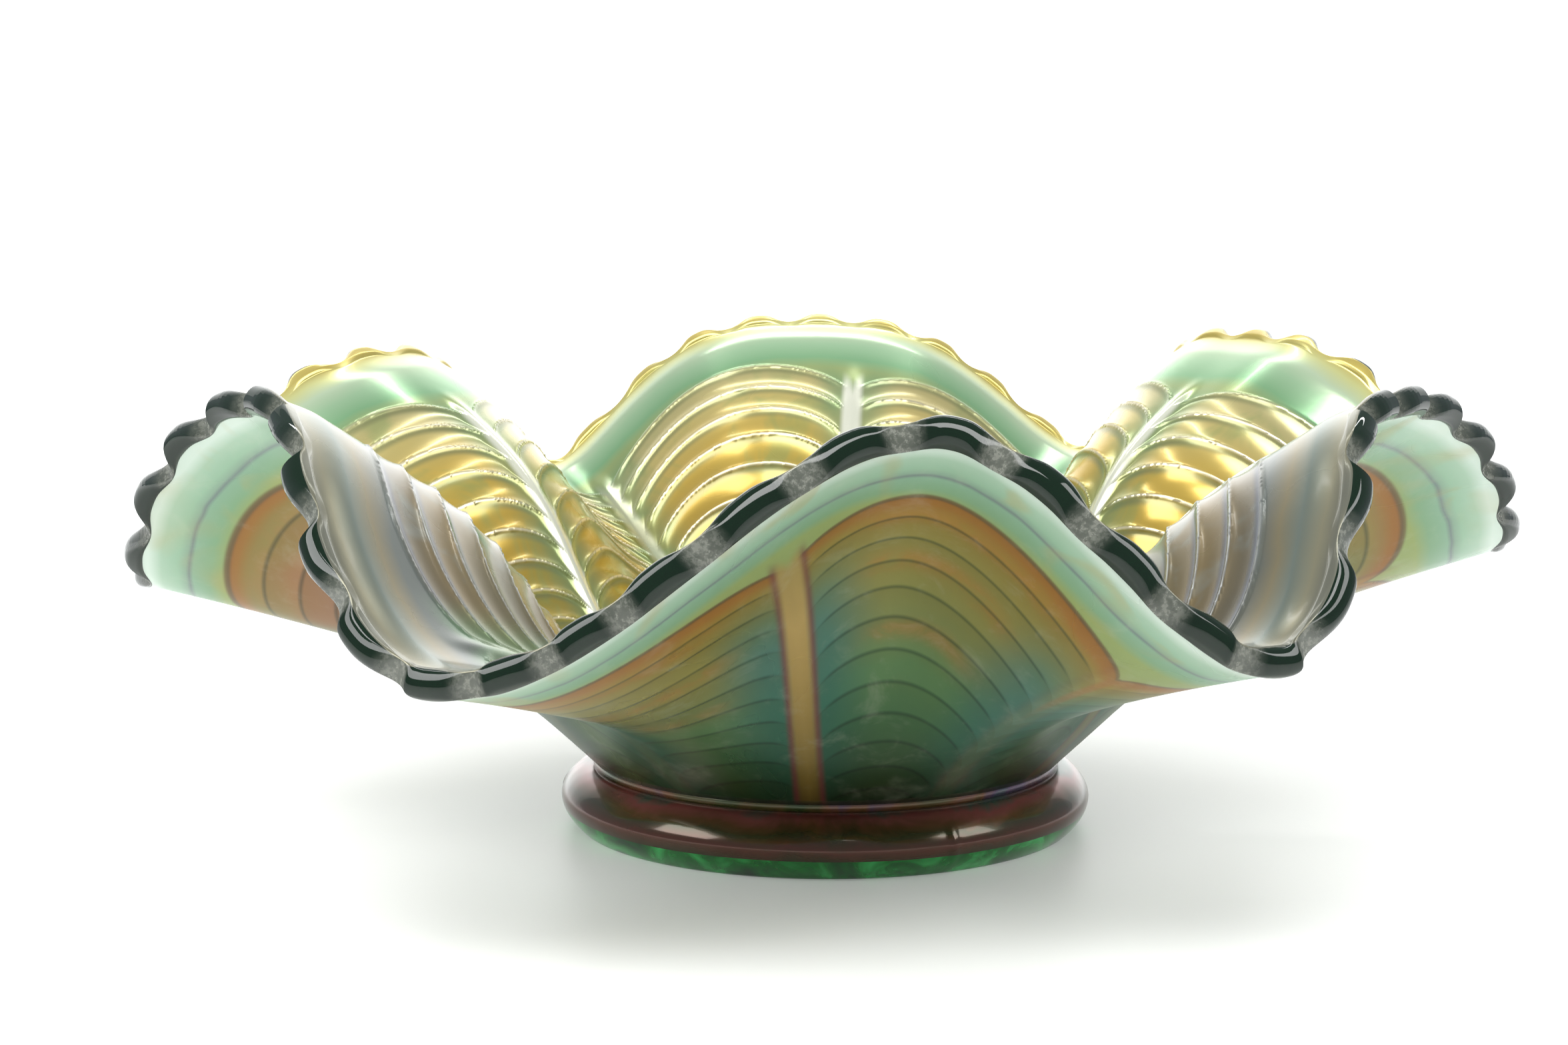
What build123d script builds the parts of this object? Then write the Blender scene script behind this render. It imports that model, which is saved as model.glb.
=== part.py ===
"""Six-ruffle pressed glass bowl on a collar foot.

The bowl is one pressing, so its nodes are the regions a glassmaker names: the foot ring, the
base disc and one wall panel per ruffle, meeting face to face. Millimetres, +Z up, origin at the
centre of the circle that the foot stands on. Azimuth is measured from the front, -Y, towards +X.
"""
from build123d import *
import os
from math import cos, hypot, pi, radians, sin

# Foot ring: a rolled collar with a flat bearing edge
FOOT_RADIUS = 44.5          # at the widest point of the roll
FOOT_HEIGHT = 9.9
FOOT_BULGE_HEIGHT = 4.8     # height of that widest point
FOOT_INNER_RADIUS = 36.0
BEARING_OUTER_RADIUS = 41.5
BEARING_INNER_RADIUS = 38.2

# Base disc: the floor of the bowl, hollowed underneath inside the foot ring
NECK_RADIUS = 39.0          # where the wall leaves the foot
NECK_HEIGHT = 11.0
RECESS_HEIGHT = 4.6
FLOOR_HEIGHT = 9.5

# Wall: measured along its outer skin, from the neck up to the rim
WALL_LENGTH = 82.4          # where its lift is 0
CREST_STRETCH = 4.6         # how much longer it was drawn where the lift is 1
ROOT_THICKNESS = 5.4
ROOT_GAP = 0.01             # hairline that keeps the lofted wall out of the base disc's cone
RIM_THICKNESS = 4.2
ROOT_SLOPE = 45.0           # degrees above level, the same all round at the neck
TROUGH_SLOPE = 17.0         # slope at the rim where the wall is pulled down
CREST_SLOPE = 34.0          # slope at the rim where the wall is pushed up
SHOULDER_SLOPE = 25.0       # how much steeper a crest stands part way up
SHOULDER_END = 0.76         # share of the wall's length that the steep shoulder takes

# Ruffles: a lift of 0 is the plain trough slope and 1 the plain crest slope. A crest's fullness
# makes it broad and its troughs narrow. The rim was crimped by hand, so no two are quite alike.
TROUGHS = [(-91, -0.21), (-28, -0.19), (31, -0.11), (93, -0.03), (150, 0.12), (210, 0.02)]
CRESTS = [(-60, 1.00, 0.13), (7, 1.00, -0.04), (57, 1.00, 0.20),
          (122, 1.14, 0.25), (182, 1.17, 0.22), (236, 0.98, 0.16)]    # azimuth, lift, fullness

# Rim scallops: small thumbprint bites, evenly spaced along the wavy edge
SCALLOPS_PER_RUFFLE = 10
SCALLOP_DEPTH = 1.8

SECTIONS_PER_SCALLOP = 4
PROFILE_STEPS = 8           # spans of each meridian curve
SLOPE_STEPS = 48            # steps of the sum that runs up the wall


def lift_at(azimuth):
    """Share of the way from trough slope to crest slope, at any azimuth."""
    turn = (azimuth - TROUGHS[0][0]) % 360
    trough_turns = [trough[0] - TROUGHS[0][0] for trough in TROUGHS] + [360]
    number = sum(turn >= start for start in trough_turns[1:-1])
    crest_azimuth, crest_lift, fullness = CRESTS[number]
    crest_turn = crest_azimuth - TROUGHS[0][0]
    beyond = turn > crest_turn
    trough_turn = trough_turns[number + beyond]
    trough_lift = TROUGHS[(number + beyond) % len(TROUGHS)][1]
    share = (turn - trough_turn) / (crest_turn - trough_turn)
    rise = (1 - cos(pi * share)) / 2 + fullness * (1 - cos(2 * pi * share)) / 2
    return trough_lift + (crest_lift - trough_lift) * rise


def wall_length(azimuth):
    """Length of the outer skin up to the scallops' tips."""
    return WALL_LENGTH + CREST_STRETCH * sin(pi / 2 * min(lift_at(azimuth), 1))


def wall_slope(lift, height_share):
    """Slope in degrees: a trough flattens as it rises, a crest has a steep shoulder."""
    rest = 1 - height_share
    trough = TROUGH_SLOPE + (ROOT_SLOPE - TROUGH_SLOPE) * rest ** 2.4
    shoulder = sin(pi * min(height_share / SHOULDER_END, 1)) ** 2
    crest = CREST_SLOPE + (ROOT_SLOPE - CREST_SLOPE) * rest ** 3 + SHOULDER_SLOPE * shoulder
    return trough + lift * (crest - trough)


def outer_skin(azimuth, height_share, bite=0):
    """Radius and height of the outer skin: the slope summed along the wall."""
    lift = lift_at(azimuth)
    radius = NECK_RADIUS + ROOT_GAP * cos(radians(ROOT_SLOPE))
    height = NECK_HEIGHT + ROOT_GAP * sin(radians(ROOT_SLOPE))
    step = height_share / SLOPE_STEPS
    length = wall_length(azimuth) - bite
    for index in range(SLOPE_STEPS):
        slope = radians(wall_slope(lift, (index + 0.5) * step))
        radius += length * step * cos(slope)
        height += length * step * sin(slope)
    return radius, height


def inner_skin(azimuth, height_share, bite=0):
    """Radius and height of the inner skin, a wall thickness in from the outer one.

    The wall also leans sideways between trough and crest, so the thickness measured in the
    meridian plane is the true one divided by the cosine of that lean.
    """
    radius, height = outer_skin(azimuth, height_share, bite)
    before, after = (outer_skin(azimuth + turn, height_share, bite) for turn in (-1, 1))
    slope = radians(wall_slope(lift_at(azimuth), height_share))
    across = (after[1] - before[1]) * cos(slope) - (after[0] - before[0]) * sin(slope)
    along = radius * radians(2)
    thickness = ROOT_THICKNESS + (RIM_THICKNESS - ROOT_THICKNESS) * height_share
    thickness *= hypot(along, across) / along
    return radius - thickness * sin(slope), height + thickness * cos(slope)


def ruffle_azimuth(start, end, rim_share):
    """Azimuth at a share of the rim's length between two troughs.

    The rim is longest on the flanks, so equal steps along it are smaller turns there.
    """
    share = rim_share - 0.0135 * sin(2 * pi * rim_share) + 0.0123 * sin(4 * pi * rim_share)
    return start + (end - start) * share


def meridian_plane(azimuth):
    """Upright plane through the bowl's axis: its x is the radius, its y is the height."""
    turn = radians(azimuth)
    return Plane((0, 0, 0), x_dir=(sin(turn), -cos(turn), 0), z_dir=(-cos(turn), -sin(turn), 0))


os.makedirs("parts", exist_ok=True)

# Foot ring: revolved roll with a flat bearing edge
with BuildPart() as foot_ring:
    with BuildSketch(Plane.XZ):
        with BuildLine():
            neck = (NECK_RADIUS, FOOT_HEIGHT)
            inner_top = (FOOT_INNER_RADIUS, FOOT_HEIGHT)
            inner_bottom = (FOOT_INNER_RADIUS, BEARING_OUTER_RADIUS - BEARING_INNER_RADIUS)
            bearing_inner = (BEARING_INNER_RADIUS, 0)
            bearing_outer = (BEARING_OUTER_RADIUS, 0)
            bulge = (FOOT_RADIUS, FOOT_BULGE_HEIGHT)
            Polyline(neck, inner_top, inner_bottom, bearing_inner, bearing_outer)
            Spline(bearing_outer, bulge, neck, tangents=[(1, 0.9), (-1, 0.1)])
        make_face()
    revolve(axis=Axis.Z)
foot_ring.part.label = "foot_ring"
export_step(foot_ring.part, "parts/foot_ring.step")

# Base disc: flat floor that turns up into the wall's root, a cone square to the wall
root_turn = radians(ROOT_SLOPE)
root_inner = (NECK_RADIUS - ROOT_THICKNESS * sin(root_turn),
              NECK_HEIGHT + ROOT_THICKNESS * cos(root_turn))
floor_radius = (root_inner[1] - FLOOR_HEIGHT) / (1 - cos(root_turn))
floor_edge = (root_inner[0] - floor_radius * sin(root_turn), FLOOR_HEIGHT)
with BuildPart() as base_disc:
    with BuildSketch(Plane.XZ):
        with BuildLine():
            Polyline(floor_edge, (0, FLOOR_HEIGHT), (0, RECESS_HEIGHT),
                     (FOOT_INNER_RADIUS, RECESS_HEIGHT), (FOOT_INNER_RADIUS, FOOT_HEIGHT),
                     (NECK_RADIUS, FOOT_HEIGHT), (NECK_RADIUS, NECK_HEIGHT), root_inner)
            TangentArc(floor_edge, root_inner, tangent=(1, 0))
        make_face()
    revolve(axis=Axis.Z)
base_disc.part.label = "base_disc"
export_step(base_disc.part, "parts/base_disc.step")

# Ruffles: each runs from one trough to the next, lofted through upright meridian sections,
# four to each scallop, with straight rulings between them
section_count = SECTIONS_PER_SCALLOP * SCALLOPS_PER_RUFFLE
trough_azimuths = [trough[0] for trough in TROUGHS] + [TROUGHS[0][0] + 360]
for number, (start, end) in enumerate(zip(trough_azimuths, trough_azimuths[1:]), 1):
    with BuildPart() as ruffle:
        for section in range(section_count + 1):
            azimuth = ruffle_azimuth(start, end, section / section_count)
            bite = SCALLOP_DEPTH * (1 - cos(2 * pi * section / SECTIONS_PER_SCALLOP)) / 2
            steps = [index / PROFILE_STEPS for index in range(PROFILE_STEPS + 1)]
            outer = [outer_skin(azimuth, step, bite) for step in steps]
            inner = [inner_skin(azimuth, step, bite) for step in steps]
            rim_slope = radians(wall_slope(lift_at(azimuth), 1))
            lip_tip = ((outer[-1][0] + inner[-1][0]) / 2 + RIM_THICKNESS / 2 * cos(rim_slope),
                       (outer[-1][1] + inner[-1][1]) / 2 + RIM_THICKNESS / 2 * sin(rim_slope))
            with BuildSketch(meridian_plane(azimuth)):
                with BuildLine():
                    Spline(*outer)
                    ThreePointArc(outer[-1], lip_tip, inner[-1])
                    Spline(*reversed(inner))
                    Line(inner[0], outer[0])
                make_face()
        loft(ruled=True)
    ruffle.part.label = f"ruffle_{number}"
    export_step(ruffle.part, f"parts/ruffle_{number}.step")
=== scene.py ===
"""Six-ruffle pressed carnival glass bowl on a collar foot, as it looks on a studio table.

The pieces are made in the order that they sit in the bowl: the wall with its rim, the pressed
floor and the collar foot. Sizes are millimetres until a piece is finished, then metres, +Z up.
Azimuth is measured from the front, -Y, towards +X.
"""
import bpy
import numpy as np
from mathutils import Matrix


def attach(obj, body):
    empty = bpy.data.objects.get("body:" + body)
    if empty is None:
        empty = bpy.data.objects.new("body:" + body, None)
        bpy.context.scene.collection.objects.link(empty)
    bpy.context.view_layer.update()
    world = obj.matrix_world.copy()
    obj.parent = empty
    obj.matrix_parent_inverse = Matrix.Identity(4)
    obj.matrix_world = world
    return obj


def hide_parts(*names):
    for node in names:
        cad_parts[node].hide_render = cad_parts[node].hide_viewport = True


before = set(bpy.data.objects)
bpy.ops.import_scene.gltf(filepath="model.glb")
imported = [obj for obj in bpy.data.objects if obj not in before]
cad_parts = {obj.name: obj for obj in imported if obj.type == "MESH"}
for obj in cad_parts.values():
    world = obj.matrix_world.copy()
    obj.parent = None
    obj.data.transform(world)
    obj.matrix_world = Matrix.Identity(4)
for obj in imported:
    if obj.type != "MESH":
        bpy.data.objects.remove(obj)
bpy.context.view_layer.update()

# ---------------------------------------------------------------------------------------------
# Studio: a pale paper sweep under a soft panel, with a window each side of it. Their shapes show
# as bright quadrilaterals on the glossy rim.

camera = bpy.data.objects.new("camera", bpy.data.cameras.new("camera"))
camera.data.lens = 62.2
camera.data.sensor_width = 36.0
camera.location = (-0.007, -0.4478, 0.1076)
camera.rotation_euler = (np.radians(82.67), 0, 0)
bpy.context.collection.objects.link(camera)
bpy.context.scene.camera = camera
bpy.context.scene.view_settings.view_transform = "Standard"


def tint(red, green, blue):
    """A colour as the eye reads it, 0 to 255, turned into the linear light that a shader takes."""
    share = np.array([red, green, blue]) / 255
    linear = np.where(share < 0.04045, share / 12.92, ((share + 0.055) / 1.055) ** 2.4)
    return (*linear.tolist(), 1.0)


def add(tree, kind, *inputs, **settings):
    """Adds a node and fills its inputs in order: a socket is linked, a value set, None skipped."""
    new = tree.nodes.new(kind)
    for name, value in settings.items():
        setattr(new, name, value)
    for socket, value in zip(new.inputs, inputs):
        if isinstance(value, bpy.types.NodeSocket):
            tree.links.new(value, socket)
        elif value is not None:
            socket.default_value = value
    return new


world = bpy.data.worlds.new("studio")
world.use_nodes = True
world.node_tree.nodes.clear()
room = add(world.node_tree, "ShaderNodeBackground", tint(226, 234, 244), 0.48)
white = add(world.node_tree, "ShaderNodeBackground", tint(252, 252, 252), 1.0)
seen = add(world.node_tree, "ShaderNodeLightPath").outputs["Is Camera Ray"]
sky = add(world.node_tree, "ShaderNodeMixShader", seen, room.outputs[0], white.outputs[0])
add(world.node_tree, "ShaderNodeOutputWorld", sky.outputs[0])
bpy.context.scene.world = world


def new_material(name, **plain):
    """A material with one Principled shader; plain holds its constant sockets by name."""
    material = bpy.data.materials.new(name)
    material.use_nodes = True
    tree = material.node_tree
    tree.nodes.clear()
    shader = add(tree, "ShaderNodeBsdfPrincipled")
    add(tree, "ShaderNodeOutputMaterial", shader.outputs[0])
    for socket, value in plain.items():
        shader.inputs[socket.replace("_", " ")].default_value = value
    return material, tree, shader


def finished_piece(name, points, faces, slots, materials, attributes=None, normals=None):
    """Mesh from points in millimetres, with one material slot number for each face."""
    mesh = bpy.data.meshes.new(name)
    mesh.from_pydata((np.asarray(points) * 0.001).tolist(), [], faces)
    mesh.polygons.foreach_set("use_smooth", np.ones(len(mesh.polygons), bool))
    mesh.polygons.foreach_set("material_index", np.asarray(slots, np.int32))
    for material in materials:
        mesh.materials.append(material)
    for key, values in (attributes or {}).items():
        layer = mesh.attributes.new(key, "FLOAT", "POINT")
        layer.data.foreach_set("value", np.asarray(values, np.float32).ravel())
    mesh.update()
    if normals is not None:
        mesh.normals_split_custom_set_from_vertices(normals.tolist())
    piece = bpy.data.objects.new(name, mesh)
    bpy.context.collection.objects.link(piece)
    return piece


def grid_faces(rows, columns, around=False, closed=False):
    """Quads of a rows x columns grid; around joins the last column to the first, closed the
    last row to the first."""
    row = np.arange(rows if closed else rows - 1)[:, None]
    column = np.arange(columns if around else columns - 1)[None, :]
    above, right = (row + 1) % rows, (column + 1) % columns
    corners = [row * columns + column, row * columns + right,
               above * columns + right, above * columns + column]
    return np.stack(np.broadcast_arrays(*corners), -1).reshape(-1, 4)


# Paper sweep: level to the back edge, then a quarter circle up to a wall
SWEEP_EDGE, SWEEP_RADIUS, SWEEP_WIDTH = 1800.0, 1200.0, 3000.0
rise = np.radians(np.linspace(0, 90, 33))
sweep_y = np.concatenate([[-2500], SWEEP_EDGE + SWEEP_RADIUS * np.sin(rise),
                          [SWEEP_EDGE + SWEEP_RADIUS]])
sweep_z = np.concatenate([[0], SWEEP_RADIUS * (1 - np.cos(rise)), [3000]])
sweep_points = np.stack([np.repeat([[-SWEEP_WIDTH, SWEEP_WIDTH]], len(sweep_y), 0),
                         np.repeat(sweep_y[:, None], 2, 1), np.repeat(sweep_z[:, None], 2, 1)], -1)
paper, tree, shader = new_material("pale_paper", Base_Color=tint(236, 236, 234), Roughness=0.42,
                                   Emission_Color=tint(255, 255, 253), Emission_Strength=0.13,
                                   Specular_IOR_Level=0.35)
grain = add(tree, "ShaderNodeTexNoise", add(tree, "ShaderNodeTexCoord").outputs["Object"],
            None, 900.0, 2.0)
tree.links.new(add(tree, "ShaderNodeBump", 0.02, 0.0002, None, grain.outputs[0]).outputs[0],
               shader.inputs["Normal"])
sweep = finished_piece("paper_sweep", sweep_points.reshape(-1, 3),
                       grid_faces(len(sweep_y), 2).tolist(), [0] * (len(sweep_y) - 1), [paper])


def softbox(name, place, aim, size, power, colour=(1, 1, 1)):
    """A rectangular light at place, turned to face aim, both in metres."""
    light = bpy.data.lights.new(name, "AREA")
    light.shape, light.energy, light.color = "RECTANGLE", power, colour
    light.size, light.size_y = size
    lamp = bpy.data.objects.new(name, light)
    toward = np.subtract(place, aim) / np.linalg.norm(np.subtract(place, aim))
    side = np.cross((0, 0, 1), toward)
    side = side / np.linalg.norm(side) if np.linalg.norm(side) > 1e-6 else np.array([1.0, 0, 0])
    lamp.matrix_world = Matrix([[side[i], np.cross(toward, side)[i], toward[i], place[i]]
                                for i in range(3)] + [[0, 0, 0, 1]])
    bpy.context.collection.objects.link(lamp)


softbox("backdrop_light", (0, 1.2, 1.9), (0, 2.8, 0.5), (2.6, 0.6), 90.0)
softbox("key_panel", (-0.05, -0.56, 0.98), (0, 0, 0.05), (0.6, 0.44), 7.0)
softbox("left_window", (-0.86, -0.36, 0.84), (0, 0, 0.05), (0.62, 0.8), 9.5)
softbox("right_window", (0.88, -0.34, 0.84), (0, 0, 0.05), (0.5, 0.72), 6.5)

# ---------------------------------------------------------------------------------------------
# Ruffled wall: one pressing of green glass, pulled down by hand between six crests while soft.
# Twelve feathered petals are moulded inside. Both skins carry a sprayed metallic film, and the
# scalloped rim was left as bare, fire-polished glass.

NECK_RADIUS, NECK_HEIGHT = 39.0, 11.0
WALL_LENGTH, CREST_STRETCH = 82.4, 4.6          # up the outer skin; extra length of a crest
ROOT_THICKNESS, RIM_THICKNESS = 5.4, 4.2
ROOT_SLOPE, TROUGH_SLOPE, CREST_SLOPE = 45.0, 17.0, 34.0
SHOULDER_SLOPE, SHOULDER_END = 25.0, 0.76
TROUGHS = np.array([(-91, -0.21), (-28, -0.19), (31, -0.11),
                    (93, -0.03), (150, 0.12), (210, 0.02), (269, -0.21)])   # azimuth, lift
CRESTS = np.array([(-60, 1.00, 0.13), (7, 1.00, -0.04), (57, 1.00, 0.20),
                   (122, 1.14, 0.25), (182, 1.17, 0.22), (236, 0.98, 0.16)])  # and fullness
SCALLOPS = 10                                   # thumbprint bites in each ruffle's rim
OUTER_BITE, INNER_BITE = 1.8, 0.5               # a bite slants, so it is deeper outside
BEAD_HEIGHT, BEAD_SAG, BEAD_PROUD = 0.9, 1.0, 0.55   # bare rim: a pillow between bites, sagging at them
FLANK_STRETCH = -0.0135, 0.0123                 # the rim is longest on its flanks: bites bunch there
EDGE_TAPER = 0.9                                # the wall thins towards its edge
COLUMNS = 240                                   # along a ruffle's rim
INNER_ROWS, OUTER_ROWS, BEAD_ROWS, LIP_ROWS = 228, 57, 11, 13

# The twelve spines were pulled a little out of their even spacing with the ruffles
SPINES = np.array([-4.3, 25.7, 55.7, 87, 122, 150, 175.7, 205.7, 235.7, 265.7, 295.7, 325.7, 355.7])
SPINE_GILDING = np.array([1.0, 0.12, 0.5, 0.3, 0.6, 0.3, 0.8, 0.3, 0.6, 0.3, 0.25, 0.12])
PETAL_WARMTH = np.array([0.42, 0.45, 0.80, 0.85, 0.60, 0.40, 0.55, 0.45, 0.60, 0.85, 0.95, 0.45])
TOP_ARC, ARC_PITCH, ARC_DROOP = 14.5, 6.15, 11.5   # below the rim, arc to arc, ends below middle
FLUTE_DEPTH, RIDGE_HEIGHT, RIDGE_WIDTH = 0.46, 0.12, 0.5
SPINE_HEIGHT, SPINE_WIDTH = 0.6, 1.6


def lift_at(azimuth):
    """Share of the way from trough to crest: a raised cosine from each trough to its crest,
    made broader by the crest's fullness times a second cosine of twice the rate."""
    turn = (azimuth - TROUGHS[0, 0]) % 360
    starts, tops = TROUGHS[:, 0] - TROUGHS[0, 0], CRESTS[:, 0] - TROUGHS[0, 0]
    number = np.clip(np.searchsorted(starts, turn, side="right") - 1, 0, 5)
    nearest = number + (turn > tops[number])
    share = (turn - starts[nearest]) / (tops[number] - starts[nearest])
    climb = ((1 - np.cos(np.pi * share)) + CRESTS[number, 2] * (1 - np.cos(2 * np.pi * share))) / 2
    return TROUGHS[nearest, 1] + (CRESTS[number, 1] - TROUGHS[nearest, 1]) * climb


def smooth(value, low, high):
    """0 below low, 1 above high, and 3x^2 - 2x^3 between."""
    share = np.clip((value - low) / (high - low), 0, 1)
    return share * share * (3 - 2 * share)


def outer_skin(azimuth, share):
    """Points of the outer skin at shares of the wall's length: its slope summed up the wall.
    Troughs ease from 45 to 17 degrees; crests stand steeper on a sine-squared shoulder."""
    lift = lift_at(azimuth)
    length = WALL_LENGTH + CREST_STRETCH * np.sin(np.pi / 2 * np.minimum(lift, 1))
    middle, step = (share[1:] + share[:-1]) / 2, np.diff(share, axis=0) * length
    trough = TROUGH_SLOPE + (ROOT_SLOPE - TROUGH_SLOPE) * (1 - middle) ** 2.4
    shoulder = np.sin(np.pi * np.minimum(middle / SHOULDER_END, 1)) ** 2
    crest = CREST_SLOPE + (ROOT_SLOPE - CREST_SLOPE) * (1 - middle) ** 3 + SHOULDER_SLOPE * shoulder
    slope = np.radians(trough + lift * (crest - trough))
    start = np.zeros((1, len(azimuth)))
    radius = NECK_RADIUS + np.cumsum(np.vstack([start, step * np.cos(slope)]), axis=0)
    height = NECK_HEIGHT + np.cumsum(np.vstack([start, step * np.sin(slope)]), axis=0)
    turn = np.radians(azimuth)
    return np.stack([radius * np.sin(turn), -radius * np.cos(turn), height], -1), length


def petal_place(azimuth, radius, from_rim):
    """Where a point lies in its petal: its arc level (0 at the topmost arc, 1 more at each arc
    down, the arcs drooping as a circle does), its distance from the nearest spine, the petal's
    warmth and the nearest spine's gilding."""
    turn = np.interp((azimuth - SPINES[0]) % 360 + SPINES[0], SPINES, np.arange(len(SPINES)))
    petal = np.minimum(turn.astype(int), len(SPINES) - 2)
    across = np.abs((turn - petal) * 2 - 1)
    half_width = np.radians(SPINES[petal + 1] - SPINES[petal]) / 2
    droop = ARC_DROOP * (1 - np.sqrt(1 - 0.985 * across ** 2))
    spread = np.zeros_like(from_rim)
    return ((from_rim - TOP_ARC - droop) / ARC_PITCH, (1 - across) * half_width * radius,
            PETAL_WARMTH[petal] + spread, SPINE_GILDING[np.round(turn).astype(int) % 12] + spread)


def feather_relief(level, from_spine, from_rim):
    """Height of the moulding: hollow flutes that are parabolas from arc to arc, with a fine
    bell-shaped ridge on each arc, and a rounded spine that fades out towards the rim."""
    across = 2 * (level - np.floor(level)) - 1
    from_arc = (1 - np.abs(across)) / 2 * ARC_PITCH
    band = FLUTE_DEPTH * (across ** 2 - 0.45 + 0.2 * across)
    band += RIDGE_HEIGHT * np.exp(-(from_arc / RIDGE_WIDTH) ** 2)
    band *= smooth(level, -0.12, 0.06) * smooth(from_spine, 0.6, 2.8)
    spine = SPINE_HEIGHT * np.exp(-(from_spine / SPINE_WIDTH) ** 2) * smooth(from_rim, 13, 22)
    return (band + spine) * (1 - smooth(from_rim, 76, 82))


def wall_side(azimuth, bite, bite_depth, rows, spread, outside):
    """One skin of a ruffle from the neck to its edge, and the marks on its points.

    The inner skin is the outer one moved by the wall's thickness and relief along the surface's
    own normal. The bare rim stands proud of both. spread turns every azimuth, for differences.
    """
    length = outer_skin(azimuth, np.zeros((2, len(azimuth))))[1]
    bead_start = 1 - (BEAD_HEIGHT + BEAD_SAG * bite) / length
    lower = np.linspace(0, 1, rows)[:, None] * bead_start
    part = np.linspace(0, 1, BEAD_ROWS + 1)[1:, None]
    share = np.vstack([lower, bead_start + (1 - bite_depth * bite / length - bead_start) * part])
    points, length = outer_skin(azimuth + spread, share)
    beyond, before = (outer_skin(azimuth + spread + turn, share)[0] for turn in (0.2, -0.2))
    up = np.gradient(points, axis=0)
    up /= np.linalg.norm(up, axis=-1, keepdims=True)
    inward = np.cross(up, beyond - before)
    inward /= np.linalg.norm(inward, axis=-1, keepdims=True)
    from_rim = length * (1 - share)
    radius = np.hypot(points[..., 0], points[..., 1])
    level, from_spine, warmth, gilding = petal_place(azimuth + spread, radius, from_rim)
    bead_climb = np.vstack([np.zeros_like(lower), np.sin(np.pi / 2 * part) ** 0.6 + 0 * bite])
    pillow = BEAD_PROUD * bead_climb * (1 - 0.9 * bite)
    if outside:
        move = -pillow
    else:
        move = ROOT_THICKNESS + (RIM_THICKNESS - ROOT_THICKNESS) * share
        move = move + feather_relief(level, from_spine, from_rim)
        move = move - EDGE_TAPER * smooth(-from_rim, -7, -0.5) + pillow
    # where the bites' grey shows, dust and painted sheen, rising towards the lip
    dust_and_sheen_rows = np.vstack([np.zeros_like(lower), part ** 4 + 0 * bite])
    marks = {"from_rim": from_rim, "arc_level": level, "from_spine": from_spine,
             "warmth": warmth, "gilding": gilding, "bite": bite * dust_and_sheen_rows}
    return points + inward * move[..., None], up[-1], marks


def wall_chain(azimuth, rim_share, spread=0.0):
    """All rows of a ruffle, as one loop: up the outer skin, over the lip, down the inner skin.
    The lip is a squarish half round between the two edges, flat where a bite was pressed."""
    bite = ((1 - np.cos(2 * np.pi * SCALLOPS * rim_share)) / 2) ** 1.6
    outer, up, outer_marks = wall_side(azimuth, bite, OUTER_BITE, OUTER_ROWS, spread, True)
    inner, _, inner_marks = wall_side(azimuth, bite, INNER_BITE, INNER_ROWS, spread, False)
    turn = np.linspace(0, np.pi, LIP_ROWS + 2)[1:-1, None, None]
    half = (inner[-1] - outer[-1]) / 2
    reach = np.linalg.norm(half, axis=-1, keepdims=True)
    tip = up - half * np.sum(up * half, -1, keepdims=True) / reach ** 2
    tip = tip / np.linalg.norm(tip, axis=-1, keepdims=True) * reach
    crown = tip * (1.12 - 1.0 * bite[:, None]) * np.sin(turn) ** 0.6
    lip = outer[-1] + half * (1 - np.cos(turn)) + crown
    marks = {}
    for key, values in outer_marks.items():
        edge = bite if key == "bite" else values[-1]
        marks[key] = np.concatenate([values, np.broadcast_to(edge, (LIP_ROWS, len(azimuth))),
                                     inner_marks[key][::-1]])
    return np.concatenate([outer, lip, inner[::-1]]), marks


def group(name, inputs, outputs):
    """An empty node group with its sockets: name to (type, default) in, name to type out."""
    tree = bpy.data.node_groups.new(name, "ShaderNodeTree")
    for key, (kind, value) in inputs.items():
        tree.interface.new_socket(key, in_out="INPUT", socket_type=kind).default_value = value
    for key, kind in outputs.items():
        tree.interface.new_socket(key, in_out="OUTPUT", socket_type=kind)
    return tree, tree.nodes.new("NodeGroupInput").outputs, tree.nodes.new("NodeGroupOutput").inputs


def use_group(tree, shared, **values):
    """Places a node group in a material with its own values and returns its outputs."""
    new = tree.nodes.new("ShaderNodeGroup")
    new.node_tree = shared
    for key, value in values.items():
        socket = new.inputs[key.replace("_", " ")]
        if isinstance(value, bpy.types.NodeSocket):
            tree.links.new(value, socket)
        else:
            socket.default_value = value
    return new.outputs


def calc(tree, operation, *inputs):
    """One step of arithmetic."""
    return add(tree, "ShaderNodeMath", *inputs, operation=operation).outputs[0]


def rise_mask(tree, value, low, high):
    """0 below low and 1 above high, eased; falls instead where low is above high."""
    return add(tree, "ShaderNodeMapRange", value, low, high, 0.0, 1.0,
               interpolation_type="SMOOTHSTEP").outputs[0]


def blend(tree, share, first, second, way="MIX"):
    """Second colour laid over the first by a share."""
    new = add(tree, "ShaderNodeMix", share, data_type="RGBA", blend_type=way)
    for socket, value in zip(new.inputs[6:8], (first, second)):
        if isinstance(value, bpy.types.NodeSocket):
            tree.links.new(value, socket)
        else:
            socket.default_value = value
    return new.outputs[2]


def ramp(tree, value, *stops):
    """Colours over a value, from stops of (value, (red, green, blue))."""
    low, high = stops[0][0], stops[-1][0]
    share = add(tree, "ShaderNodeMapRange", value, low, high).outputs[0]
    new = add(tree, "ShaderNodeValToRGB", share)
    marks = new.color_ramp.elements
    for position, colour in stops[1:-1]:
        marks.new((position - low) / (high - low))
    for mark, (position, colour) in zip(marks, stops):
        mark.position, mark.color = (position - low) / (high - low), tint(*colour)
    return new.outputs[0]


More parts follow.
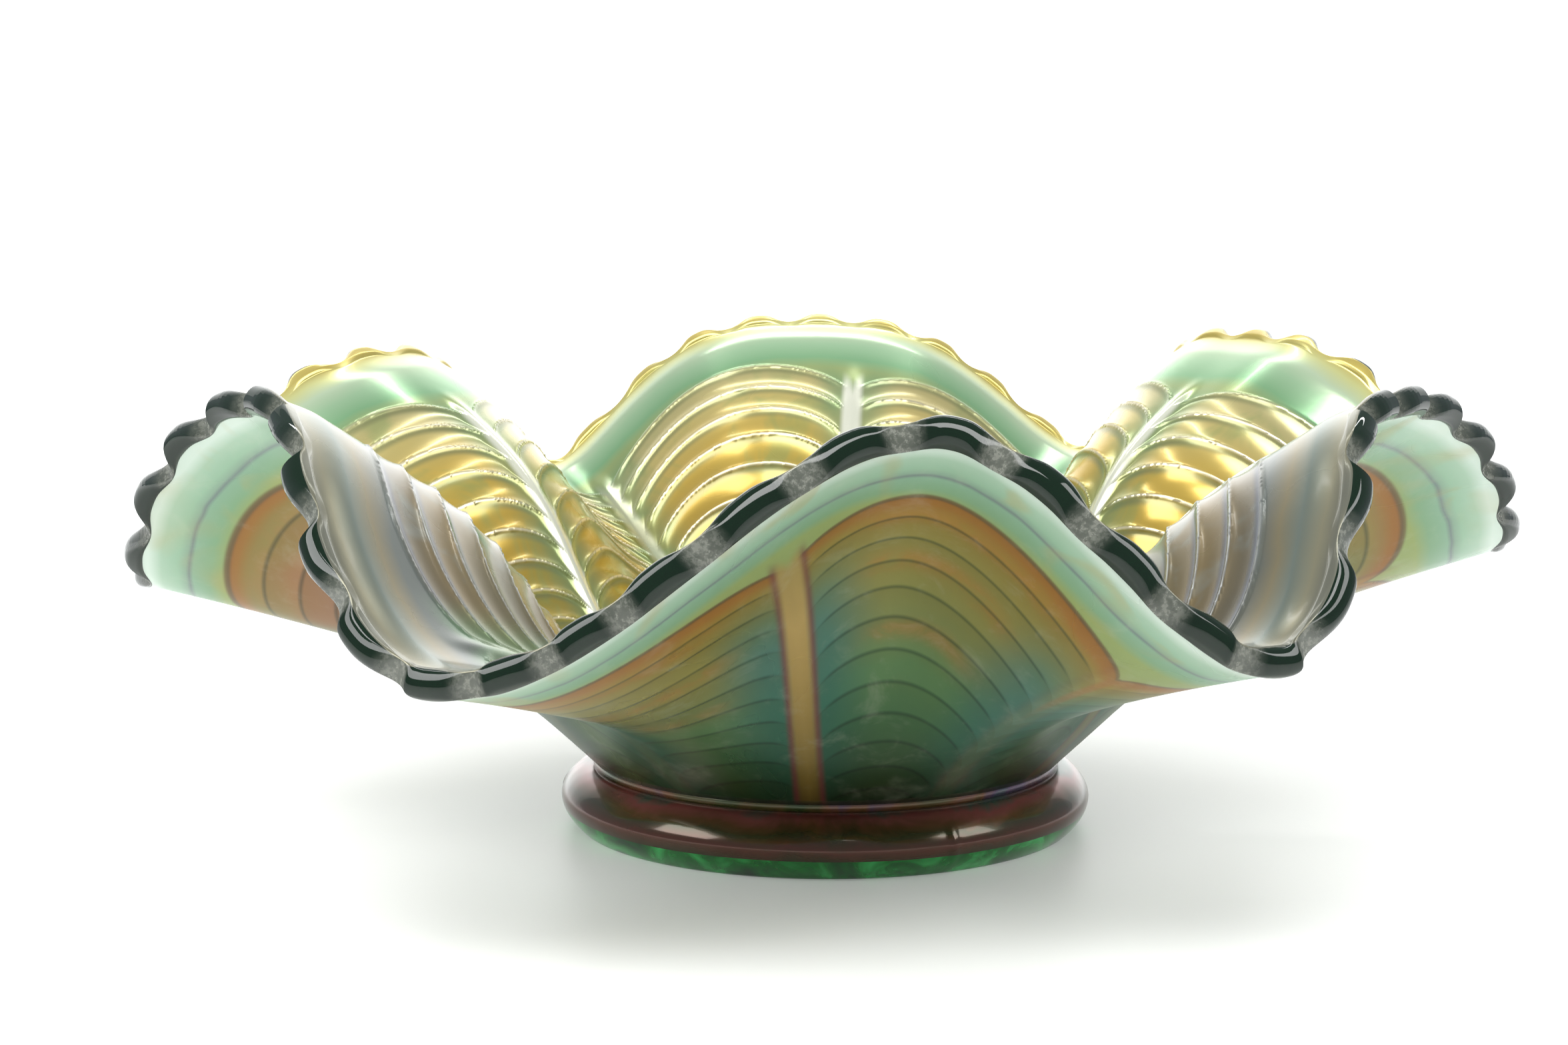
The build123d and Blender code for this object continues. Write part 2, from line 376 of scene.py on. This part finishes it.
def noise(tree, place, scale, detail=2.0, roughness=0.5, distortion=0.0):
    """Cloudy noise, 0 to 1."""
    return add(tree, "ShaderNodeTexNoise", place, None, scale, detail, roughness, None, None, None,
               distortion).outputs[0]


def read(tree, name):
    """A mark stored on the piece's points."""
    return add(tree, "ShaderNodeAttribute", attribute_name=name).outputs["Fac"]


def roughen(tree, shader, cloud, smoothest, roughest):
    """Roughness that drifts with a cloudy noise's middle range."""
    drifting = add(tree, "ShaderNodeMapRange", cloud, 0.3, 0.7, smoothest, roughest)
    tree.links.new(drifting.outputs[0], shader.inputs["Roughness"])


def emboss(tree, shader, height, strength, depth):
    """Fine relief of a depth in metres, too small for the mesh."""
    bump = add(tree, "ShaderNodeBump", strength, depth, None, height)
    tree.links.new(bump.outputs[0], shader.inputs["Normal"])


# Feather lines: masks along the arcs and spines, the same on both skins. The inner film paints a highlight
# on each arc and a shadow just below it
feather_lines, given, put = group(
    "feather_lines",
    {"Level": ("NodeSocketFloat", 0.0), "From spine": ("NodeSocketFloat", 9.0),
     "Line width": ("NodeSocketFloat", 0.08), "Offset": ("NodeSocketFloat", 0.0)},
    {"Line": "NodeSocketFloat", "Petal": "NodeSocketFloat", "Spine": "NodeSocketFloat",
     "Edge": "NodeSocketFloat", "Halo": "NodeSocketFloat"})
tree = feather_lines
shifted = calc(tree, "ADD", given["Level"], given["Offset"])
beside = calc(tree, "PINGPONG", shifted, 0.5)
petal = rise_mask(tree, given["Level"], -0.12, 0.12)
line = calc(tree, "SUBTRACT", 1.0, calc(tree, "DIVIDE", beside, given["Line width"]))
line = rise_mask(tree, line, 0.0, 1.0)
open_side = rise_mask(tree, given["From spine"], 1.8, 5.0)
tree.links.new(calc(tree, "MULTIPLY", calc(tree, "MULTIPLY", line, petal), open_side), put["Line"])
tree.links.new(petal, put["Petal"])
below_split = rise_mask(tree, given["Level"], -0.9, 0.1)
for key, low, high in (("Spine", 2.2, 1.0), ("Halo", 8.5, 2.0)):
    mask = rise_mask(tree, given["From spine"], low, high)
    tree.links.new(calc(tree, "MULTIPLY", mask, below_split), put[key])
edge = calc(tree, "MULTIPLY", rise_mask(tree, given["From spine"], 0.9, 1.8),
            rise_mask(tree, given["From spine"], 2.9, 1.9))
tree.links.new(calc(tree, "MULTIPLY", edge, below_split), put["Edge"])


def film_material(name, **plain):
    """A film over glass: its paint in front, and the dark green of the glass from inside."""
    material, tree, shader = new_material(name, **plain)
    place = add(tree, "ShaderNodeTexCoord").outputs["Object"]

    def coat(colour):
        """Puts the paint on, and shows dark glass to light that comes from within it."""
        inside = add(tree, "ShaderNodeNewGeometry").outputs["Backfacing"]
        tree.links.new(blend(tree, inside, colour, tint(5, 24, 10)), shader.inputs["Base Color"])

    return material, tree, shader, place, coat


# Outer film: copper and gold at the petals' tops, teal and dark green towards the foot. The pale mint
# under the rim is partly painted reflection of the bright room, the darkening towards the foot partly
# painted shade
outer_film, tree, shader, place, coat = film_material(
    "outer_film", Metallic=0.22, IOR=1.5, Coat_Weight=0.0)
level, from_rim, from_spine = (read(tree, key) for key in ("arc_level", "from_rim", "from_spine"))
warmth, gilding = read(tree, "warmth"), read(tree, "gilding")
smear = noise(tree, place, 26.0, 3.0, 0.55, 0.6)
fine = noise(tree, place, 140.0, 4.0, 0.65, 0.4)
drift = calc(tree, "SUBTRACT", smear, 0.5)
# pale mint under the rim, partly painted reflection of the bright room, palest next to the bead
haze = ramp(tree, calc(tree, "MULTIPLY_ADD", drift, 4.0, from_rim),
            (2.0, (206, 222, 208)), (4.2, (164, 194, 168)), (7.0, (148, 184, 154)),
            (8.3, (136, 166, 142)), (8.9, (116, 132, 126)), (9.6, (132, 170, 140)),
            (12.5, (126, 164, 124)), (15.0, (146, 162, 96)))
blotch = rise_mask(tree, noise(tree, place, 60.0, 2.0, 0.5, 1.0), 0.56, 0.72)
haze = blend(tree, calc(tree, "MULTIPLY", blotch, 0.4), haze, tint(176, 158, 92))
# darker towards the foot, partly painted shade where the lower wall faces the shadowed floor
tone = ramp(tree, calc(tree, "MULTIPLY_ADD", drift, 1.6, level),
            (0.0, (158, 104, 32)), (0.4, (160, 110, 38)), (0.9, (150, 126, 50)),
            (2.2, (142, 132, 64)), (3.6, (138, 132, 64)), (5.0, (116, 124, 68)),
            (6.6, (86, 122, 74)), (8.4, (62, 100, 60)), (10.2, (44, 70, 34)), (11.5, (34, 50, 24)))
swing = calc(tree, "PINGPONG", calc(tree, "MULTIPLY_ADD", drift, 2.5, level), 1.1)
patch = calc(tree, "MULTIPLY", rise_mask(tree, swing, 0.45, 1.1), rise_mask(tree, fine, 0.3, 0.6))
patch = calc(tree, "MULTIPLY", patch, rise_mask(tree, from_spine, 6.0, 13.0))
patch = calc(tree, "MULTIPLY", patch, rise_mask(tree, level, 7.5, 4.5))
tone = blend(tree, calc(tree, "MULTIPLY", patch, 0.5), tone, tint(172, 112, 40))
glow = calc(tree, "MULTIPLY_ADD", drift, 5.0, level)
warm = calc(tree, "MULTIPLY", rise_mask(tree, glow, 0.7, 2.6), rise_mask(tree, glow, 6.0, 3.0))
off_spine = calc(tree, "MULTIPLY_ADD", drift, 10.0, from_spine)
warm = calc(tree, "MULTIPLY", warm, rise_mask(tree, off_spine, 4.0, 13.0))
warm = calc(tree, "MULTIPLY", warm, calc(tree, "MULTIPLY", calc(tree, "SUBTRACT", warmth, 0.5), 1.7))
green = calc(tree, "MULTIPLY", calc(tree, "SUBTRACT", warmth, 0.5), rise_mask(tree, level, 0.2, 0.7))
tone = blend(tree, green, tone, tint(110, 132, 84))
copper = ramp(tree, glow, (0.5, (186, 130, 80)), (2.2, (176, 104, 78)), (3.6, (156, 98, 96)),
              (4.8, (118, 92, 120)), (6.0, (72, 96, 96)))
tone = blend(tree, warm, tone, copper)
feather = use_group(tree, feather_lines, Level=level, From_spine=from_spine, Line_width=0.11)
teal = calc(tree, "MULTIPLY", rise_mask(tree, calc(tree, "MULTIPLY_ADD", drift, 9.0, from_spine), 13.0, 3.0),
            rise_mask(tree, level, 0.3, 3.5))
sea = ramp(tree, level, (0.0, (96, 130, 84)), (4.0, (50, 118, 112)), (8.0, (34, 92, 74)),
           (11.0, (28, 54, 34)))
tone = blend(tree, calc(tree, "MULTIPLY", teal, 0.8), tone, sea)
# painted shade: each band is darkest just below its arc line and fades towards the next
shade_below_arc = calc(tree, "SUBTRACT", 1.0, calc(tree, "FRACT", level))
tone = blend(tree, shade_below_arc, tone, tint(232, 232, 222), "MULTIPLY")
arc = calc(tree, "MULTIPLY", feather["Line"], 0.62)
tone = blend(tree, arc, tone, tint(104, 138, 138), "MULTIPLY")
colour = blend(tree, feather["Petal"], haze, tone)
border = calc(tree, "MULTIPLY", rise_mask(tree, level, -0.16, -0.03),
              rise_mask(tree, level, 0.16, 0.0))
colour = blend(tree, calc(tree, "MULTIPLY", border, 0.7), colour, tint(84, 52, 30))
edge = calc(tree, "MULTIPLY", feather["Edge"], calc(tree, "MULTIPLY", gilding, 0.75))
colour = blend(tree, edge, colour, tint(112, 50, 52))
vein = calc(tree, "MULTIPLY", rise_mask(tree, from_spine, 0.9, 0.2), rise_mask(tree, level, 0.0, 1.0))
vein = calc(tree, "MULTIPLY", vein, rise_mask(tree, level, 5.0, 1.5))
colour = blend(tree, calc(tree, "MULTIPLY", vein, 0.4), colour, tint(168, 96, 56))
gilt = ramp(tree, level, (-1.0, (160, 138, 76)), (3.0, (180, 150, 84)), (8.0, (134, 110, 50)),
            (11.0, (80, 64, 24)))
colour = blend(tree, calc(tree, "MULTIPLY", feather["Spine"], gilding), colour, gilt)
bloom = calc(tree, "MULTIPLY", rise_mask(tree, fine, 0.5, 0.8), 0.14)
coat(blend(tree, bloom, colour, tint(205, 208, 184)))
roughen(tree, shader, smear, 0.24, 0.36)
emboss(tree, shader, noise(tree, place, 500.0, 2.0), 0.03, 0.0002)

# Inner film: gold over mint on the far walls. From 12 mm behind the bowl's middle to 30 mm in front of it
# the near walls are painted darker and silvery as painted shade; ridges and spines carry painted highlights
inner_film, tree, shader, place, coat = film_material(
    "inner_film", Metallic=0.5, IOR=1.5, Coat_Weight=0.3, Coat_Roughness=0.1)
level, from_rim, from_spine = (read(tree, key) for key in ("arc_level", "from_rim", "from_spine"))
smear = noise(tree, place, 26.0, 3.0, 0.55, 0.5)
fine = noise(tree, place, 70.0, 3.0, 0.6, 0.8)
drift = calc(tree, "SUBTRACT", smear, 0.5)
# painted shade: this mask turns the near, front walls to darker, silvery copies of the far walls' colours
shaded_front = rise_mask(tree, add(tree, "ShaderNodeSeparateXYZ", place).outputs[1], 0.012, -0.03)
haze = ramp(tree, calc(tree, "MULTIPLY_ADD", drift, 7.0, from_rim), (0.0, (196, 176, 92)),
            (2.5, (206, 206, 140)), (5.5, (188, 206, 172)), (9.0, (156, 190, 150)),
            (13.0, (128, 172, 126)), (16.0, (150, 166, 108)))
# painted shade: the near walls' band under the rim, darker and greyer
shaded_haze = ramp(tree, calc(tree, "MULTIPLY_ADD", drift, 8.0, from_rim), (0.0, (112, 112, 98)),
                 (3.0, (132, 128, 104)), (7.0, (108, 118, 108)), (11.0, (126, 116, 86)),
                 (15.0, (92, 98, 92)))
gold = ramp(tree, calc(tree, "MULTIPLY_ADD", drift, 2.6, level),
            (0.0, (178, 170, 120)), (1.4, (194, 178, 112)), (3.0, (196, 166, 74)),
            (6.0, (176, 146, 54)), (8.5, (146, 134, 56)), (11.5, (116, 116, 56)))
fleck = calc(tree, "MULTIPLY", rise_mask(tree, fine, 0.48, 0.7), 0.5)
gold = blend(tree, fleck, gold, tint(128, 152, 92))
# painted shade: the near walls' petals, darker and greyer than the gold far walls
pale = ramp(tree, calc(tree, "MULTIPLY_ADD", drift, 3.0, level),
            (0.0, (96, 92, 78)), (2.0, (124, 108, 74)), (4.0, (106, 100, 76)),
            (7.0, (122, 100, 54)), (11.0, (84, 76, 40)))
fleck = calc(tree, "MULTIPLY", rise_mask(tree, fine, 0.5, 0.7), 0.5)
pale = blend(tree, fleck, pale, tint(132, 142, 138))
haze, tone = blend(tree, shaded_front, haze, shaded_haze), blend(tree, shaded_front, gold, pale)
feather = use_group(tree, feather_lines, Level=level, From_spine=from_spine, Line_width=0.07)
beside = use_group(tree, feather_lines, Level=level, From_spine=from_spine, Line_width=0.22, Offset=-0.15)
# painted shadow: a dark slate line just below each arc, where the step shades the flute
tone = blend(tree, calc(tree, "MULTIPLY", beside["Line"], 0.75), tone,
             blend(tree, shaded_front, tint(122, 126, 84), tint(44, 56, 76)))
# painted highlight: a pale line along each ridge, where it catches the light
tone = blend(tree, calc(tree, "MULTIPLY", feather["Line"], 0.75), tone,
             blend(tree, shaded_front, tint(226, 216, 186), tint(192, 196, 196)))
colour = blend(tree, feather["Petal"], haze, tone)
colour = blend(tree, calc(tree, "MULTIPLY", feather["Halo"], 0.6), colour, tint(110, 146, 104))
# painted highlight: the raised spines shown pale where they catch the light, its strength set by each
# spine's gilding
spine_highlight = calc(tree, "MULTIPLY", feather["Spine"], rise_mask(tree, read(tree, "gilding"), 0.0, 0.7))
colour = blend(tree, spine_highlight, colour, tint(226, 226, 206))
coat(colour)
roughen(tree, shader, smear, 0.18, 0.3)
emboss(tree, shader, noise(tree, place, 260.0, 3.0), 0.08, 0.0003)

# Bare rim: glossy green glass, grey in the bites: dust, with a painted sheen of the bright room on their
# rough hollows
rim_glass, tree, shader = new_material("rim_glass", Metallic=0.0, IOR=1.48, Transmission_Weight=0.35,
                                       Coat_Weight=0.0)
place = add(tree, "ShaderNodeTexCoord").outputs["Object"]
specks = rise_mask(tree, noise(tree, place, 1100.0, 3.0, 0.7), 0.42, 0.62)
bite = rise_mask(tree, read(tree, "bite"), 0.3, 1.0)
# dust and painted sheen: the bites' grey stands for dust and for the bright room's diffuse reflection
dust_and_sheen = calc(tree, "MULTIPLY", bite, calc(tree, "MULTIPLY_ADD", specks, 0.5, 0.5))
tree.links.new(blend(tree, dust_and_sheen, tint(4, 34, 13), tint(150, 152, 140)), shader.inputs["Base Color"])
matt = add(tree, "ShaderNodeMapRange", dust_and_sheen, 0.0, 1.0, 0.02, 0.3)
tree.links.new(matt.outputs[0], shader.inputs["Roughness"])

# Joint faces: the bowl is one pressing, so nothing shows where its regions meet
joint, tree, shader = new_material("joint", Base_Color=tint(5, 24, 10), Alpha=0.0)

for number, (start, end) in enumerate(zip(TROUGHS[:-1, 0], TROUGHS[1:, 0]), 1):
    rim_share = np.linspace(0, 1, COLUMNS + 1)
    even = (rim_share + FLANK_STRETCH[0] * np.sin(2 * np.pi * rim_share)
            + FLANK_STRETCH[1] * np.sin(4 * np.pi * rim_share))
    azimuth = start + (end - start) * even
    points, marks = wall_chain(azimuth, rim_share)
    around = wall_chain(azimuth, rim_share, 0.12)[0] - wall_chain(azimuth, rim_share, -0.12)[0]
    around += np.gradient(points, axis=1) * 1e-3
    normals = np.cross(around, np.roll(points, -1, 0) - np.roll(points, 1, 0))
    normals /= np.maximum(np.linalg.norm(normals, axis=-1, keepdims=True), 1e-9)
    rows = len(points)
    quads = grid_faces(rows, COLUMNS + 1, closed=True)
    strip = np.repeat(np.arange(rows), COLUMNS)
    bare_rows = OUTER_ROWS + BEAD_ROWS + LIP_ROWS - 2       # the film reaches over the lip's inner edge
    slots = np.select([strip < OUTER_ROWS - 1, strip < bare_rows, strip < rows - 1], [1, 2, 0], 3)
    first_ring = (np.arange(rows) * (COLUMNS + 1)).tolist()
    last_ring = (np.arange(rows)[::-1] * (COLUMNS + 1) + COLUMNS).tolist()
    wall = finished_piece(f"ruffle_wall_{number}", points.reshape(-1, 3),
                          quads.tolist() + [first_ring, last_ring], [*slots, 3, 3],
                          [inner_film, outer_film, rim_glass, joint], marks, normals.reshape(-1, 3))
    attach(wall, "root")
    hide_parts(f"ruffle_{number}")

# ---------------------------------------------------------------------------------------------
# Pressed floor: the middle of the same pressing. Its feathers run in to a small rosette, and it
# is hollowed underneath inside the collar foot.

FLOOR_HEIGHT, RECESS_HEIGHT, FOOT_INNER_RADIUS, FOOT_HEIGHT = 9.5, 4.6, 36.0, 9.9
ROOT_RADIUS = NECK_RADIUS - ROOT_THICKNESS * np.sin(np.radians(ROOT_SLOPE))
ROOT_HEIGHT = NECK_HEIGHT + ROOT_THICKNESS * np.cos(np.radians(ROOT_SLOPE))
COVE_RADIUS = (ROOT_HEIGHT - FLOOR_HEIGHT) / (1 - np.cos(np.radians(ROOT_SLOPE)))
COVE_START = ROOT_RADIUS - COVE_RADIUS * np.sin(np.radians(ROOT_SLOPE))
FLOOR_SPINE_HEIGHT, FLOOR_SPINE_WIDTH = 0.55, 1.1
FLOOR_RINGS = ((8.5, 0.5, 0.9), (28.5, 0.45, 0.8))      # radius, height, half width
ROSETTE_PETALS = 8
BASE_COLUMNS = 640


def revolve(radius, height, columns):
    """Points of a profile carried round the axis: rows follow the profile, columns the azimuth."""
    turn = np.linspace(0, 2 * np.pi, columns, endpoint=False)
    radius, height = np.broadcast_arrays(np.reshape(radius, (len(radius), -1)),
                                         np.reshape(height, (len(height), -1)))
    return np.stack([radius * np.sin(turn), -radius * np.cos(turn), height + 0 * turn], -1)


def pole_faces(columns, row_start, pole, upward):
    """A fan of triangles that closes a ring of points on one pole point."""
    here = row_start + np.arange(columns)
    there = row_start + (np.arange(columns) + 1) % columns
    fan = np.stack([here, there, np.full(columns, pole)], -1)
    return fan if upward else fan[:, ::-1]


cove = np.radians(np.linspace(0, ROOT_SLOPE, 25))
top_radius = np.concatenate([np.linspace(0.35, COVE_START, 72)[:-1],
                             COVE_START + COVE_RADIUS * np.sin(cove)])
top_height = np.concatenate([np.full(71, FLOOR_HEIGHT),
                             FLOOR_HEIGHT + COVE_RADIUS * (1 - np.cos(cove))])
base_azimuth = np.degrees(np.linspace(0, 2 * np.pi, BASE_COLUMNS, endpoint=False))
below = WALL_LENGTH + (ROOT_RADIUS - top_radius)[:, None] * 1.05
below = below + 0 * base_azimuth
level, from_spine, warmth, gilding = petal_place(base_azimuth, top_radius[:, None], below)
moulding = FLOOR_SPINE_HEIGHT * np.exp(-(from_spine / FLOOR_SPINE_WIDTH) ** 2)
moulding = moulding * smooth(top_radius, 9, 14)[:, None]
for ring_radius, ring_height, ring_width in FLOOR_RINGS:
    moulding = moulding + ring_height * np.exp(-((top_radius - ring_radius) / ring_width) ** 2)[:, None]
rosette = 0.35 + 0.25 * np.cos(np.radians(base_azimuth * ROSETTE_PETALS))
moulding = moulding + rosette * smooth(-top_radius, -7, -4)[:, None]
moulding = moulding * (1 - smooth(top_radius, 31.5, 34.5))[:, None]
lower_radius = [NECK_RADIUS, NECK_RADIUS, FOOT_INNER_RADIUS, FOOT_INNER_RADIUS,
                *np.linspace(FOOT_INNER_RADIUS - 0.4, 0.35, 40)]
lower_height = [NECK_HEIGHT, FOOT_HEIGHT, FOOT_HEIGHT, RECESS_HEIGHT, *np.full(40, RECESS_HEIGHT)]
lower_radius, lower_height = np.array(lower_radius), np.array(lower_height)
lower_height[5:] += 0.25 * smooth(-lower_radius[5:], -33, -31)
lower_height[4:] += 0.3 * np.exp(-((lower_radius[4:] - 20) / 1.0) ** 2)
top = revolve(top_radius, top_height[:, None] + moulding, BASE_COLUMNS)
bottom = revolve(lower_radius, lower_height, BASE_COLUMNS)
chain = np.concatenate([bottom[::-1], top[::-1]])
rows = len(chain)
quads = grid_faces(rows, BASE_COLUMNS, around=True)
strip = np.repeat(np.arange(rows - 1), BASE_COLUMNS)
lower_rows = len(bottom)
slots = np.select([strip < lower_rows - 4, strip < lower_rows - 2, strip == lower_rows - 2,
                   strip == lower_rows - 1], [1, 3, 1, 3], 0)     # recess, joint, neck, joint, top
points = np.concatenate([chain.reshape(-1, 3), [[0, 0, RECESS_HEIGHT + 0.25], [0, 0, FLOOR_HEIGHT + 0.6]]])
under_pole, over_pole = len(points) - 2, len(points) - 1
faces = quads.tolist() + pole_faces(BASE_COLUMNS, 0, under_pole, False).tolist()
faces += pole_faces(BASE_COLUMNS, (rows - 1) * BASE_COLUMNS, over_pole, True).tolist()
slots = [*slots, *[1] * BASE_COLUMNS, *[0] * BASE_COLUMNS]


def base_mark(over, under):
    """One value per point of the floor's chain: under the bowl a plain value, then its top."""
    return np.concatenate([np.full(lower_rows * BASE_COLUMNS, under),
                           np.broadcast_to(over, (len(top_radius), BASE_COLUMNS))[::-1].ravel(),
                           [under, over[-1, 0] if np.ndim(over) == 2 else over]])


# Underside film: thinner and darker, straight from the mould
under_film, tree, shader, place, coat = film_material(
    "under_film", Metallic=0.3, IOR=1.5, Coat_Weight=0.4, Coat_Roughness=0.08)
swirl = noise(tree, place, 45.0, 3.0, 0.55, 1.2)
coat(ramp(tree, swirl, (0.25, (34, 62, 32)), (0.42, (70, 74, 36)), (0.55, (112, 74, 48)),
          (0.68, (84, 66, 92)), (0.8, (46, 92, 80))))
roughen(tree, shader, swirl, 0.14, 0.26)

floor_piece = finished_piece("pressed_floor", points, faces, slots,
                             [inner_film, under_film, rim_glass, joint],
                             {"from_rim": base_mark(below, 80.0), "arc_level": base_mark(level, 11.0),
                              "from_spine": base_mark(from_spine, 9.0), "warmth": base_mark(warmth, 0.5),
                              "gilding": base_mark(gilding, 0.5)})
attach(floor_piece, "root")
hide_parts("base_disc")

# ---------------------------------------------------------------------------------------------
# Collar foot: a rolled ring left by the mould's bottom plate. Its film is dark and maroon, it
# wore off the bearing edge, and the mould's seam crosses it at the right of the front.

FOOT_RADIUS, FOOT_BULGE_HEIGHT = 44.5, 4.8
BEARING_OUTER_RADIUS, BEARING_INNER_RADIUS = 41.5, 38.2
FOOT_COLUMNS = 480
SEAM_AZIMUTHS = (26.0, 146.0, 266.0)

t = np.linspace(0, 1, 15)[:, None]
hermite = [2 * t ** 3 - 3 * t ** 2 + 1, t ** 3 - 2 * t ** 2 + t, 3 * t ** 2 - 2 * t ** 3, t ** 3 - t ** 2]
lower = sum(h * np.array(p) for h, p in zip(hermite, ([BEARING_OUTER_RADIUS, 0], [5.0, 4.0],
                                                      [FOOT_RADIUS, FOOT_BULGE_HEIGHT], [0.0, 5.4])))
upper = sum(h * np.array(p) for h, p in zip(hermite, ([FOOT_RADIUS, FOOT_BULGE_HEIGHT], [0.0, 5.6],
                                                      [NECK_RADIUS, FOOT_HEIGHT], [-8.0, 0.8])))
roll = np.vstack([lower, upper[1:]])
inside = np.array([[FOOT_INNER_RADIUS, FOOT_HEIGHT], [FOOT_INNER_RADIUS, RECESS_HEIGHT],
                   [FOOT_INNER_RADIUS, 3.3], [BEARING_INNER_RADIUS - 0.5, 0.5],
                   [BEARING_INNER_RADIUS, 0.0], [BEARING_OUTER_RADIUS - 0.8, 0.0]])
profile = np.vstack([roll, inside])
azimuth = np.degrees(np.linspace(0, 2 * np.pi, FOOT_COLUMNS, endpoint=False))
off_seam = np.min([np.abs((azimuth - seam + 180) % 360 - 180) for seam in SEAM_AZIMUTHS], axis=0)
seam = 0.28 * np.exp(-(off_seam / 0.8) ** 2)
hand = 0.10 * np.sin(np.radians(azimuth * 3 + 40)) + 0.07 * np.sin(np.radians(azimuth * 7))
swell = np.zeros(len(profile))
swell[:len(roll)] = np.sin(np.pi * np.linspace(0, 1, len(roll)))
wobble = swell[:, None] * (seam + hand - 0.25)[None, :]
foot_points = revolve(profile[:, :1] + wobble, profile[:, 1:], FOOT_COLUMNS)
rows = len(profile)
quads = grid_faces(rows, FOOT_COLUMNS, around=True, closed=True)
strip = np.repeat(np.arange(rows), FOOT_COLUMNS)
bare_rows = 10
joint_rows = (strip == len(roll) - 1) | (strip == len(roll))
slots = np.where(joint_rows, 2, np.where((strip < bare_rows) | (strip > len(roll)), 1, 0))

foot_film, tree, shader, place, coat = film_material(
    "foot_film", Metallic=0.4, IOR=1.5, Coat_Weight=0.3, Coat_Roughness=0.04)
swirl = noise(tree, place, 40.0, 4.0, 0.6, 1.5)
height = calc(tree, "MULTIPLY", add(tree, "ShaderNodeSeparateXYZ", place).outputs[2], 1000.0)
streak = calc(tree, "ADD", height, calc(tree, "MULTIPLY", swirl, 5.0))      # millimetres, blurred
coat(ramp(tree, streak, (4.0, (14, 58, 20)), (5.6, (54, 44, 18)), (7.4, (84, 44, 30)), (9.4, (52, 50, 20)),
          (10.6, (92, 60, 34)), (11.8, (132, 72, 66)), (12.9, (66, 92, 78)), (14.2, (60, 54, 22))))
roughen(tree, shader, swirl, 0.1, 0.24)
emboss(tree, shader, noise(tree, place, 90.0, 2.0), 0.2, 0.0008)

foot_glass, tree, shader = new_material("foot_glass", IOR=1.5, Transmission_Weight=0.4)
place = add(tree, "ShaderNodeTexCoord").outputs["Object"]
# bare green glass in cloudy pools; the palest, brightest green is painted glow of light shining through the
# foot
pool = noise(tree, place, 110.0, 3.0, 0.6, 0.8)
emerald = ramp(tree, pool, (0.35, (2, 66, 22)), (0.5, (6, 128, 42)), (0.7, (70, 220, 112)))
tree.links.new(emerald, shader.inputs["Base Color"])
roughen(tree, shader, pool, 0.05, 0.16)

foot = finished_piece("collar_foot", foot_points.reshape(-1, 3), quads.tolist(), slots,
                      [foot_film, foot_glass, joint])
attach(foot, "root")
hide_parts("foot_ring")
